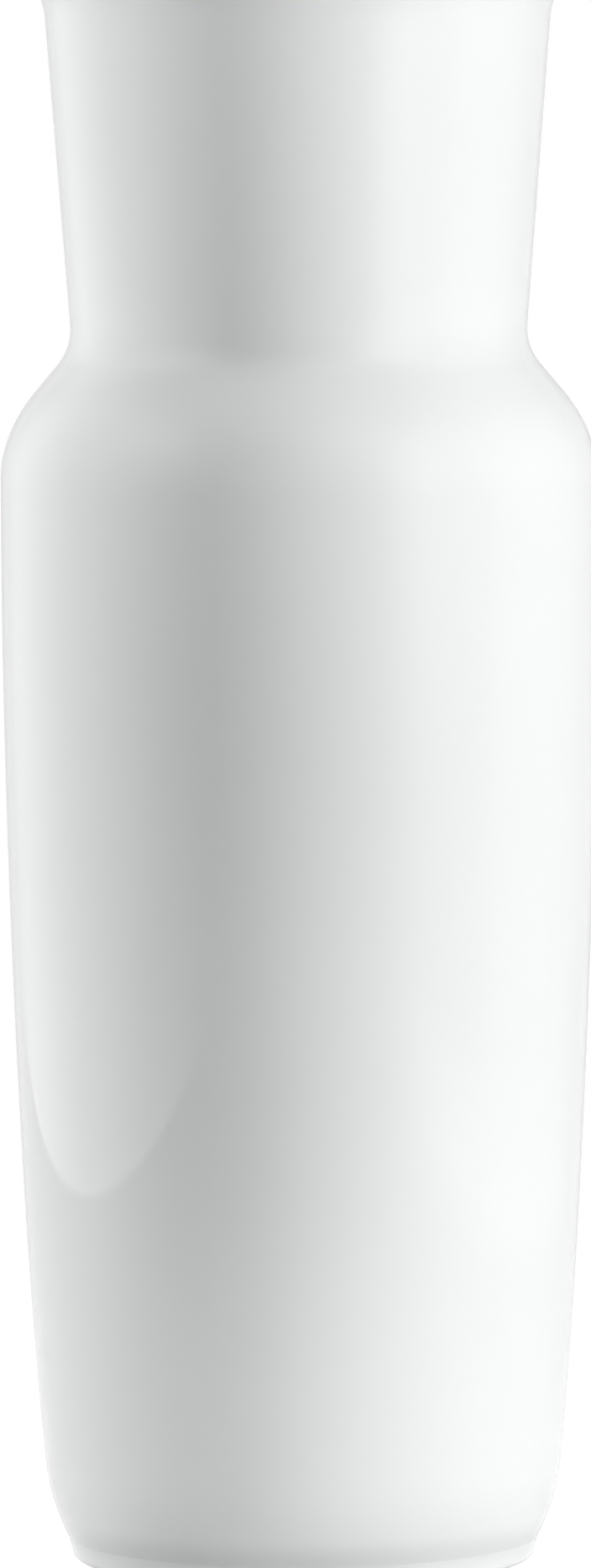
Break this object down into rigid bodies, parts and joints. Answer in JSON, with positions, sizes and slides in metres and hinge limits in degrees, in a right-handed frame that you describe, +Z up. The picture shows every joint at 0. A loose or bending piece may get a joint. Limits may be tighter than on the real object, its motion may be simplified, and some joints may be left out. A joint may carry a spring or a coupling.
{
  "type": "vase",
  "caption": "Tall round white porcelain vase with a slowly tapering body, a rounded shoulder, a flared collar and a low foot ring, in a high-gloss glaze.",
  "frame": {"origin": "centre of the circle on which the foot ring stands", "axes": "+Z up along the vase's axis; the vase is round, so +X and +Y are any two square directions"},
  "size_m": [0.11, 0.11, 0.29],
  "materials": {
    "glazed_porcelain": "clear high-gloss glaze over white porcelain",
    "glazed_slip": "white slip under the same clear high-gloss glaze"
  },
  "bodies": {
    "root": {"foot_ring": "glazed_porcelain", "foot_slip": "glazed_slip", "base": "glazed_porcelain", "base_slip": "glazed_slip", "body": "glazed_porcelain", "collar_slip": "glazed_slip", "collar": "glazed_porcelain"}
  },
  "joints": []
}
